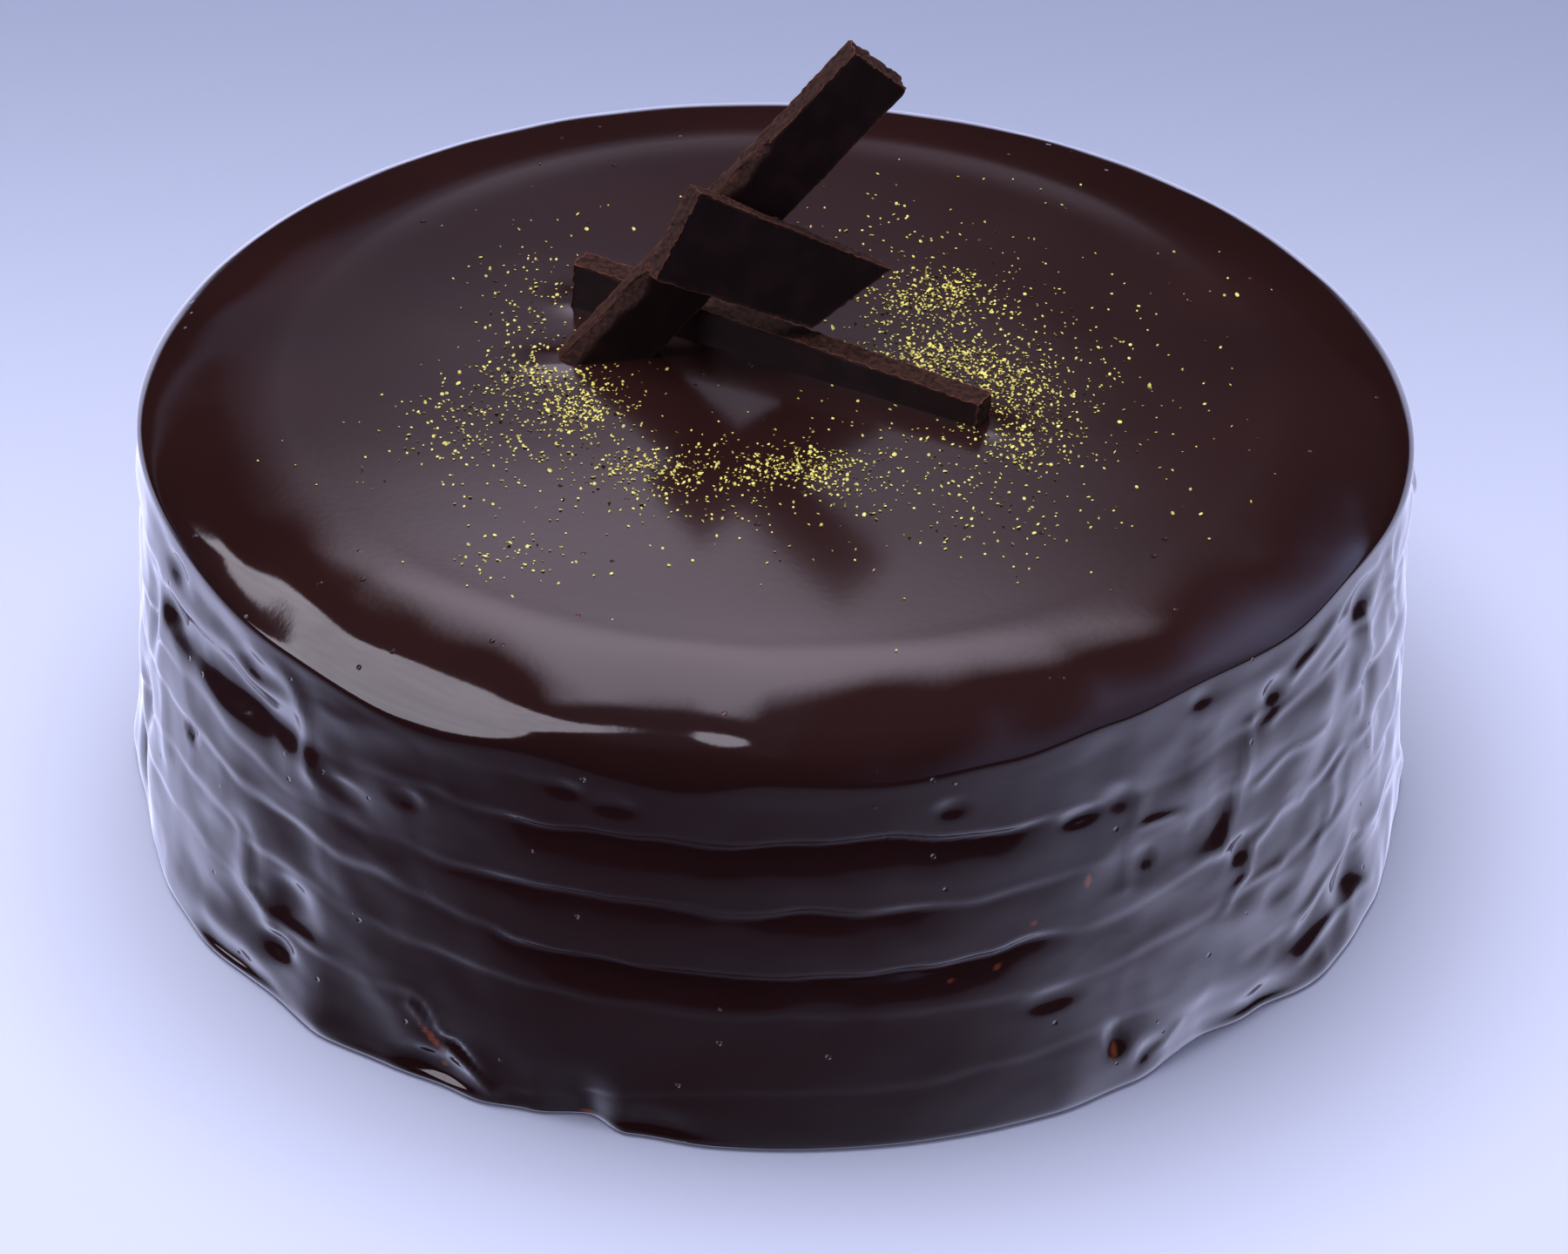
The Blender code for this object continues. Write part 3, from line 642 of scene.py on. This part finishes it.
def make_bar(name, settings, corner, yaw, lean, slope, length, widths, skew, end_cut, low_chip,
             high_chip, chip_to):
    """A bar: a finely cut block, chipped along its edges and rough where it is broken."""
    deselect_all()
    bpy.ops.mesh.primitive_cube_add(size=1.0)
    bar = bpy.context.object
    cut_block(bar, (length, max(widths), SLAB), settings.step / MM)
    block = points_of(bar.data) + 0.5
    share, up, out = block[:, 0], block[:, 1], block[:, 2]
    here = widths[0] + (widths[1] - widths[0]) * share
    reach, side, depth = share * length, up * here, (1.0 - out) * SLAB
    rough = settings.crumble / MM
    seed = sum(ord(letter) for letter in name)

    def grain(a, b, number, size):
        """Soft lumps of about one size over a face, from -1 to 1."""
        spread, tall = 200.0, 30.0
        return unevenness(a / spread * 360.0, b + 4.0, seed + number, int(spread / size),
                          int(tall / size), tall)

    def worn(gap):
        """1 at a broken face, 0 past the depth to which it crumbles."""
        return smooth(1.0 - gap / WORN_DEPTH)

    # The broken long edges and ends are eaten away in lumps
    at_low, at_high = worn(side), worn(here - side)
    at_start, at_end = worn(reach), worn(length - reach)
    lumps = 0.5 + 0.5 * grain(reach + 3.0 * depth, side, 1, 1.6)
    lumps = np.clip(lumps + 0.35 * grain(reach, side + depth * 2.0, 2, 0.7), 0, 1.3)
    side = side + at_low * rough * lumps * (side < here / 2)
    side = side - at_high * rough * lumps * (side > here / 2)
    end_lumps = 0.5 + 0.5 * grain(side * 2.0, depth * 2.0, 3, 1.2)
    end_lumps = np.clip(end_lumps + 0.4 * grain(side, depth, 4, 0.6), 0, 1.4)
    reach = reach + at_start * 1.3 * rough * end_lumps - at_end * 1.3 * rough * end_lumps
    # Chips run along the two front edges, and are small past chip_to
    chips = 0.75 + 0.5 * grain(reach, depth * 0, 5, 6.0) + 0.15 * grain(reach, depth * 0, 6, 1.5)
    chips = np.where(share < chip_to, 1.0, 0.25) * chips
    for edge_gap, chip in ((here - side, high_chip), (side, low_chip)):
        over = np.clip(chip * chips - edge_gap, 0.0, None)
        depth = np.maximum(depth, np.minimum(over * 0.9, SLAB * 0.45) * (depth < SLAB * 0.5))
    reach = reach + skew * (1.0 - share) * side / here - end_cut * share * (1.0 - side / here)
    along, across, outward = bar_axes(yaw, lean, slope)
    points = np.outer(reach, along) + np.outer(side, across) - np.outer(depth, outward)
    put_points(bar.data, (np.array(corner) + points) * MM)
    chipped = smooth(depth / 0.5) * (out > 0.99)
    broken = np.maximum.reduce([at_low * 0.7, at_high, at_start, at_end, chipped])
    mark(bar.data, "broken", np.clip(broken, 0, 1))
    # Mark the block's edges, which get a painted highlight
    mark(bar.data, "edge", (np.abs(block - 0.5) > 0.4999).sum(1) >= 2)
    bpy.ops.object.mode_set(mode="EDIT")
    face_outwards()
    bpy.ops.object.mode_set(mode="OBJECT")
    bpy.ops.object.shade_smooth_by_angle(angle=radians(40.0))
    bar.name = bar.data.name = name + "_broken"
    return bar


def make_gold(settings):
    """The gold: small six-sided flakes, each tilted its own way, joined in one mesh."""
    draw = np.random.default_rng(23)
    count = settings.count
    share = np.array([drift[4] for drift in GOLD_DRIFTS])
    form = np.array(GOLD_DRIFTS)[draw.choice(len(GOLD_DRIFTS), count, p=share / share.sum())]
    tail = draw.uniform(0, 1, count) ** 4 * 1.6 + 0.85
    x = form[:, 0] + draw.normal(0, 1, count) * form[:, 2] * tail
    y = form[:, 1] + draw.normal(0, 1, count) * form[:, 3] * tail
    keep = np.hypot(x, y) < GOLD_REACH
    for start, end in bar_footprints():
        keep &= gap_to_bar(x, y, start, end) > GOLD_CLEAR
    x, y = x[keep], y[keep]
    count = len(x)
    size = settings.size / MM * np.clip(draw.lognormal(0.0, 0.32, count), 0.5, 2.3)
    spin = draw.uniform(0, 2 * np.pi, count)
    tilt, lean = draw.normal(0, 0.35, count), draw.normal(0, 0.35, count)
    turn = np.radians(np.arange(6) * 60.0)[None, :] + spin[:, None]
    ring_x, ring_y = np.cos(turn) * size[:, None], np.sin(turn) * size[:, None]
    ring_z = ring_x * np.tan(tilt)[:, None] + ring_y * np.tan(lean)[:, None]
    base = top_height(x, y) + 0.12
    ring = np.stack([x[:, None] + ring_x, y[:, None] + ring_y,
                     base[:, None] + ring_z + 0.1 * size[:, None]], 2)
    crown = np.stack([x, y, base + 0.28 * size], 1)[:, None, :]
    under = np.stack([x, y, base - 0.25 * size], 1)[:, None, :]
    points = np.concatenate([ring, crown, under], 1).reshape(-1, 3)
    faces = []
    for first in range(0, count * 8, 8):
        for side in range(6):
            after = (side + 1) % 6
            faces.append((first + side, first + after, first + 6))
            faces.append((first + after, first + side, first + 7))
    mesh = bpy.data.meshes.new("gold_flakes")
    mesh.from_pydata((points * MM).tolist(), [], faces)
    gold = bpy.data.objects.new("gold_flakes", mesh)
    bpy.context.scene.collection.objects.link(gold)
    return gold


# ---------- materials

def expression(operation, swapped=False):
    """Lets one Math node be written as an expression on sockets."""
    def apply(self, other):
        values = (other, self) if swapped else (self, other)
        return self.finish.node("ShaderNodeMath", {"operation": operation}, *values)
    return apply


class Socket:
    """One output of a material's nodes, for writing its maths as expressions."""

    def __init__(self, finish, output):
        self.finish, self.output = finish, output

    __add__, __radd__ = expression("ADD"), expression("ADD", swapped=True)
    __sub__, __rsub__ = expression("SUBTRACT"), expression("SUBTRACT", swapped=True)
    __mul__, __rmul__ = expression("MULTIPLY"), expression("MULTIPLY", swapped=True)
    __truediv__ = expression("DIVIDE")
    least, most = expression("MINIMUM"), expression("MAXIMUM")

    def between(self, low, high):
        """0 below low, 1 above high, soft in between."""
        softly = {"interpolation_type": "SMOOTHSTEP"}
        return self.finish.node("ShaderNodeMapRange", softly, self, low, high)

    def window(self, low, high, soft):
        """1 from low to high, 0 outside them, with edges as wide as `soft` to each side."""
        past = self.between(high - soft, high + soft)
        return self.between(low - soft, low + soft) * (1.0 - past)


class Finish:
    """A material and a short way to add nodes to it."""

    def __init__(self, name):
        self.material = bpy.data.materials.new(name)
        self.material.use_nodes = True
        self.tree = self.material.node_tree
        self.shader = self.tree.nodes["Principled BSDF"]

    def node(self, kind, settings=None, *values, out=0, **named):
        """Add a node, first its settings, then the values or links of its sockets."""
        item = self.tree.nodes.new(kind)
        for key, value in (settings or {}).items():
            if key == "stops":
                while len(item.color_ramp.elements) < len(value):
                    item.color_ramp.elements.new(0.5)
                for stop, (place, colour) in zip(item.color_ramp.elements, value):
                    stop.position = place
                    stop.color = (*colour, 1.0)
            else:
                setattr(item, key, value)
        for place, value in list(enumerate(values)) + list(named.items()):
            key = place if isinstance(place, int) else place.replace("_", " ")
            self.feed(item.inputs[key], value)
        return Socket(self, item.outputs[out])

    def feed(self, socket, value):
        """Link a socket, or set its value."""
        if isinstance(value, Socket):
            self.tree.links.new(value.output, socket)
        elif value is not None:
            socket.default_value = value

    def blend(self, share, first, second):
        """A colour between two colours."""
        item = self.tree.nodes.new("ShaderNodeMix")
        item.data_type = "RGBA"
        self.feed(item.inputs["Factor"], share)
        self.feed(item.inputs["A"], first if isinstance(first, Socket) else (*first, 1.0))
        self.feed(item.inputs["B"], second if isinstance(second, Socket) else (*second, 1.0))
        return Socket(self, item.outputs["Result"])

    def set(self, **values):
        """Feed the shader's own sockets."""
        for key, value in values.items():
            self.feed(self.shader.inputs[key.replace("_", " ")], value)

    def place(self):
        """Where on the piece a point lies, in metres."""
        return self.node("ShaderNodeTexCoord", out="Object")

    def marked(self, name):
        """A value that was kept at the piece's points."""
        return self.node("ShaderNodeAttribute", {"attribute_name": name}, out="Fac")

    def along(self, axis, place):
        """One of a place's X, Y and Z."""
        return self.node("ShaderNodeSeparateXYZ", None, place, out=axis)

    def noise(self, place, size, detail=3.0, rough=0.5):
        """Even noise whose lumps are about `size` metres."""
        return self.node("ShaderNodeTexNoise", None, place, Scale=1.0 / size, Detail=detail,
                         Roughness=rough)

    def dots(self, place, size, channel):
        """Scattered dots about `size` metres apart: how far off each is, and its own chance."""
        apart = self.node("ShaderNodeTexVoronoi", None, place, Scale=1.0 / size)
        chance = self.node("ShaderNodeTexVoronoi", None, place, Scale=1.0 / size, out="Color")
        return apart, self.node("ShaderNodeSeparateColor", None, chance, out=channel)

    def degrees(self, operation, *values):
        """The angle that an operation gives, in degrees."""
        return self.node("ShaderNodeMath", {"operation": operation}, *values) * (180.0 / np.pi)

    def follow(self, steps, value, low, high, brightest):
        """Follow (angle, brightness) steps, evenly from one to the next, between two angles."""
        span = high - low
        stops = [((angle - low) / span, [bright / brightest] * 3) for angle, bright in steps]
        share = (value - low) / span
        return self.node("ShaderNodeValToRGB", {"stops": stops}, share) * brightest

    def raise_surface(self, relief):
        """Feed fine relief to the shader's normal."""
        self.set(Normal=self.node("ShaderNodeBump", None, Strength=1.0, Distance=RELIEF_DEPTH,
                                  Height=relief))


def shades(colour, *amounts):
    """A colour made darker or lighter by each amount."""
    return [[part * amount for part in colour] for amount in amounts]


def glaze_finish(settings):
    """Wet dark glaze: deep brown, glossy, with small bubbles, specks and a fine skin."""
    finish = Finish("poured_glaze")
    place = finish.place()
    cloud = finish.noise(place, 0.045, 2.0)
    colour = finish.blend(cloud.between(0.3, 0.7), *shades(settings.dark, 0.9, 1.12))
    specks, chance = finish.dots(place, 0.0065, "Red")
    fleck = (1.0 - specks.between(0.03, 0.075)) * chance.between(0.82, 0.86)
    colour = finish.blend(fleck, colour, CRUMB_COLOUR)
    skin = finish.noise(place, 0.0016, 2.0)
    dull = finish.noise(place, 0.02, 3.0)
    level = finish.along("Z", place)
    # The flat of the top is a little less glossy, and the side is painted a little darker, as
    # painted shade
    rough = settings.gloss + 0.085 * level.between(0.0852, 0.0868) + 0.03 * (dull - 0.5)
    shaded_colour = finish.blend(0.35, colour, SIDE_SHADE_COLOUR)
    colour = finish.blend(level.between(0.066, 0.082), shaded_colour, colour)
    # Reddish spots: cake and crumbs showing through, and a painted reflection along the front left
    # fold
    bare = finish.marked("bare") * (0.6 + 0.8 * skin)
    colour = finish.blend(bare.between(0.2, 0.75), colour, BARE_AND_REFLECTION_COLOUR)
    finish.set(Base_Color=colour, Roughness=rough, IOR=1.5)
    bubbles, seldom = finish.dots(place, 0.006, "Green")
    pit = (1.0 - bubbles.between(0.04, 0.10)) * seldom.between(0.74, 0.78)
    finish.raise_surface(skin * 0.012 - pit * 0.6 + fleck * 0.25)
    return finish.material


def chocolate_finish(settings):
    """Dark chocolate: satin moulded faces, paler crumbly breaks, and a painted highlight along the
    block's edges.
    """
    finish = Finish("dark_chocolate_broken")
    place = finish.place()
    crumb = finish.noise(place, 0.0011, 4.0, 0.6)
    patch = finish.noise(place, 0.006, 3.0)
    scuffs = finish.noise(place, 0.0025, 5.0, 0.65)
    worn = (finish.marked("broken") * (0.55 + crumb * 0.9)).least(1.0)
    face = finish.blend(patch.between(0.35, 0.7), *shades(settings.face, 1.0, 1.5))
    breaks = finish.blend(crumb.between(0.35, 0.65), *shades(settings.broken, 0.45, 1.35))
    # A painted highlight along the block's edges
    edge = finish.marked("edge") * (crumb + 0.25)
    colour = finish.blend(edge.between(0.4, 0.66), finish.blend(worn, face, breaks), EDGE_HIGHLIGHT_COLOUR)
    rough = 0.36 + 0.10 * scuffs + worn * 0.35
    finish.set(Base_Color=colour, Roughness=rough, IOR=1.24)
    finish.raise_surface(crumb * (0.05 + worn * 0.5) + scuffs * 0.04)
    return finish.material


def gold_finish(settings):
    """Bright gold with a little variation from flake to flake."""
    finish = Finish("gold_flake")
    shade = finish.noise(finish.place(), 0.0008, 1.0)
    colour = finish.blend(shade.between(0.35, 0.6), *shades(settings.colour, 0.55, 1.0))
    finish.set(Base_Color=colour, Roughness=0.3)
    return finish.material


def table_finish(settings):
    """A plain pale table, with painted shade darkening it towards its far side."""
    finish = Finish("pale_table")
    # Painted shade: the table is darkened towards its far side
    far = finish.along("Y", finish.place()).between(-0.06, 0.38)
    shaded_colour = [part * amount for part, amount in zip(settings.floor, FAR_SHADE)]
    finish.set(Base_Color=finish.blend(far, settings.floor, shaded_colour), Roughness=0.75, IOR=1.3)
    return finish.material


def backdrop_finish():
    """An even pale light, for what the camera sees past the table."""
    finish = Finish("pale_backdrop")
    finish.set(Base_Color=(0.0, 0.0, 0.0, 1.0), Emission_Color=(*BACKDROP_COLOUR, 1.0),
               Emission_Strength=1.0)
    return finish.material


def surroundings_finish():
    """What the gloss sees: a dim room, a soft light behind, one at the left, a pale right wall.

    Both angles are degrees: pitch grows from straight behind the cake to overhead and on to the
    front, and yaw grows to the right.
    """
    finish = Finish("studio_surroundings")
    way = finish.node("ShaderNodeVectorMath", {"operation": "NORMALIZE"}, finish.place())
    x, y, z = (finish.along(axis, way) for axis in "XYZ")
    pitch, yaw = finish.degrees("ARCTAN2", z, y), finish.degrees("ARCSINE", x)

    # The light behind, which widens as it rises, and a dimmer strip beside it
    rightward = yaw.between(-8.0, 4.0)
    from_below = (pitch - 2.0 * rightward).between(29.0, 45.0)
    wide = (pitch - 35.0).least(11.0) * 0.6
    to_left = (yaw + 6.2 + wide).between(-4.0, 4.0) * (1.0 - pitch.between(78.0, 86.0))
    leans_in = (pitch - 52.0).most(0.0) * 0.5
    to_right = 1.0 - (yaw - 2.2 - wide + leans_in).between(-5.0, 4.0)
    behind = from_below * to_left * to_right * 2.75
    strip = (1.0 - (yaw - 0.5 * (pitch - 33.0)).between(3.4, 5.4)) * yaw.between(-1.0, 3.0)
    behind = behind.most(pitch.window(31.5, 48.0, 2.0) * strip * 0.45)

    # Haze low at the back, and fainter haze overhead
    rising = 29.0 + 7.0 * yaw.between(-20.0, -8.0)
    haze = pitch.window(25.0, rising, 3.5) * (1.0 - 0.6 * rightward) * 0.15
    haze = haze + pitch.window(34.0, 122.0, 6.0) * yaw.window(-13.0, 16.0, 6.0) * 0.075
    haze = haze * (1.0 - 0.7 * yaw.between(1.5, 5.5))

    # The draped light at the left, between its inner, outer and lower edges
    inner = (1.0 - yaw.between(-32.5, -30.5)).most((pitch - 0.95 * yaw).between(109.0, 111.0))
    outer = 1.0 - (pitch + 0.75 * yaw).between(98.5, 100.5)
    outer = outer.most(1.0 - (pitch + 1.9 * yaw).between(64.0, 67.0))
    low = (yaw + 0.8 * (pitch - 62.0).most(0.0)).between(-39.5, -36.5) * pitch.between(51.0, 54.0)
    drape = 0.72 + 0.5 * finish.noise(way, 0.11, 3.0, 0.6)
    left = inner * outer * low * (1.0 - yaw.between(-11.0, -8.0)) * drape * 4.6

    # The pale wall at the right
    right = yaw.between(12.0, 34.0) * pitch.between(33.0, 43.0)
    right = right * (1.0 - 0.6 * pitch.between(58.0, 110.0)) * 0.95

    # The table and the walls just over it, by angle round the cake and by height
    turn, level = finish.degrees("ARCTAN2", x, 0.0 - y), finish.degrees("ARCSINE", z)
    round_about = finish.follow(ROUND_THE_ROOM, turn, -180.0, 180.0, brightest=2.5)
    before = finish.follow(UP_THE_FRONT, level, -90.0, 0.0, brightest=2.0)
    far, aside = y.between(0.25, 0.6), x.most(0.0 - x).between(0.32, 0.5)
    over = level.between(-8.0, -2.0) * (1.0 - aside) + level.between(-1.0, 5.0) * aside
    behind_it = level.between(-56.0, -38.0) * (1.0 - over)
    table = round_about * (before * (1.0 - far) + behind_it * far)

    light = finish.node(
        "ShaderNodeCombineColor", None,
        behind + left + haze + right * 0.72 + table * 0.64 + 0.010,
        behind * 0.89 + left * 0.95 + haze * 1.1 + right * 0.85 + table * 0.67 + 0.008,
        behind * 1.08 + left * 1.1 + haze * 1.6 + right * 1.5 + table + 0.010)
    finish.set(Base_Color=(0.0, 0.0, 0.0, 1.0), Emission_Color=light, Emission_Strength=1.0,
               Specular_IOR_Level=0.0)
    finish.material.cycles.emission_sampling = "NONE"
    return finish.material


# ---------- operators

class CAKE_OT_pour_glaze(bpy.types.Operator):
    """Make the glaze with its laps, folds, rim and foot"""
    bl_idname = "cake.pour_glaze"
    bl_label = "Pour Glaze"

    def execute(self, context):
        settings = context.scene.cake_glaze
        glaze = make_glaze(settings)
        glaze.name = glaze.data.name = "glaze_surface"
        glaze.data.materials.append(glaze_finish(settings))
        take_on(glaze, "root", "glaze", "glazed_cake")
        return {"FINISHED"}


class CAKE_OT_break_bars(bpy.types.Operator):
    """Make the three chocolate bars with their broken edges"""
    bl_idname = "cake.break_bars"
    bl_label = "Break Bars"

    def execute(self, context):
        settings = context.scene.cake_chocolate
        chocolate = chocolate_finish(settings)
        for name, form in BARS.items():
            bar = make_bar(name, settings, **form)
            bar.data.materials.append(chocolate)
            take_on(bar, "root", "dark_chocolate", name)
        return {"FINISHED"}


class CAKE_OT_scatter_gold(bpy.types.Operator):
    """Scatter the gold flakes over the top"""
    bl_idname = "cake.scatter_gold"
    bl_label = "Scatter Gold"

    def execute(self, context):
        settings = context.scene.cake_gold
        gold = make_gold(settings)
        gold.data.materials.append(gold_finish(settings))
        take_on(gold, "root", "gold_glitter")
        return {"FINISHED"}


class CAKE_OT_set_stage(bpy.types.Operator):
    """Set the table, the soft lights, the surroundings and the camera"""
    bl_idname = "cake.set_stage"
    bl_label = "Set Stage"

    def execute(self, context):
        settings = context.scene.cake_stage
        scene = context.scene
        scene.view_settings.view_transform = "Standard"
        deselect_all()
        bpy.ops.mesh.primitive_circle_add(vertices=96, radius=8.0, fill_type="NGON")
        floor = bpy.context.object
        floor.name = "table"
        floor.visible_glossy = False
        floor.data.materials.append(table_finish(settings))
        # The camera sees only the backdrop, and the gloss only the surroundings
        for name, radius, material, camera in (("backdrop", 9.0, backdrop_finish(), True),
                                               ("surroundings", 1.9, surroundings_finish(), False)):
            deselect_all()
            bpy.ops.mesh.primitive_uv_sphere_add(segments=64, ring_count=32, radius=radius)
            dome = bpy.context.object
            bpy.ops.object.shade_smooth()
            dome.name = name
            dome.data.materials.append(material)
            dome.visible_camera = camera
            dome.visible_glossy = not camera
            dome.visible_diffuse = False
            dome.visible_transmission = False
            dome.visible_shadow = False
        world = bpy.data.worlds.new("room")
        world.use_nodes = True
        room = world.node_tree.nodes["Background"].inputs
        room["Color"].default_value, room["Strength"].default_value = ROOM_COLOUR, ROOM_STRENGTH
        scene.world = world
        world.cycles_visibility.glossy = False
        light = bpy.data.lights.new("overhead", "AREA")
        light.shape, light.size, light.size_y = "RECTANGLE", 1.4, 1.2
        light.energy, light.color = settings.key, LAMP_COLOUR
        lamp = bpy.data.objects.new("overhead", light)
        lamp.location = LAMP_PLACE
        lamp.rotation_euler = (-lamp.location).to_track_quat("-Z", "Y").to_euler()
        lamp.visible_glossy = False
        scene.collection.objects.link(lamp)
        eye = bpy.data.cameras.new("camera")
        eye.lens, eye.sensor_width = settings.lens, 36.0
        camera = bpy.data.objects.new("camera", eye)
        tip, roll = radians(LOOK_DOWN), radians(ROLL)
        level, up = Vector((1, 0, 0)), Vector((0, sin(tip), cos(tip)))
        back = Vector((0, -cos(tip), sin(tip)))
        side, rise = cos(roll) * level + sin(roll) * up, -sin(roll) * level + cos(roll) * up
        turned = Matrix((side, rise, back)).transposed().to_4x4()
        place = Vector(LOOK_AT) + LOOK_FROM * back
        camera.matrix_world = Matrix.Translation(place * MM) @ turned
        scene.collection.objects.link(camera)
        scene.camera = camera
        return {"FINISHED"}


class CAKE_PT_panel(bpy.types.Panel):
    """The cake's makers, in the sidebar"""
    bl_idname = "CAKE_PT_panel"
    bl_label = "Glazed Chocolate Cake"
    bl_space_type = "VIEW_3D"
    bl_region_type = "UI"
    bl_category = "Cake"

    def draw(self, context):
        for maker in MAKERS:
            self.layout.operator(maker.bl_idname)


SETTINGS = {"cake_glaze": GlazeSettings, "cake_chocolate": ChocolateSettings,
            "cake_gold": GoldSettings, "cake_stage": StageSettings}
MAKERS = (CAKE_OT_pour_glaze, CAKE_OT_break_bars, CAKE_OT_scatter_gold, CAKE_OT_set_stage)
CLASSES = (*SETTINGS.values(), *MAKERS, CAKE_PT_panel)


def register():
    """Add the cake's settings, its makers and their panel."""
    for item in CLASSES:
        bpy.utils.register_class(item)
    for name, kind in SETTINGS.items():
        setattr(bpy.types.Scene, name, PointerProperty(type=kind))


def unregister():
    """Take them away again."""
    for name in SETTINGS:
        delattr(bpy.types.Scene, name)
    for item in reversed(CLASSES):
        bpy.utils.unregister_class(item)


def main():
    """Make the whole cake and its stage."""
    register()
    bpy.ops.cake.pour_glaze()
    bpy.ops.cake.break_bars()
    bpy.ops.cake.scatter_gold()
    bpy.ops.cake.set_stage()


if __name__ == "__main__":
    main()
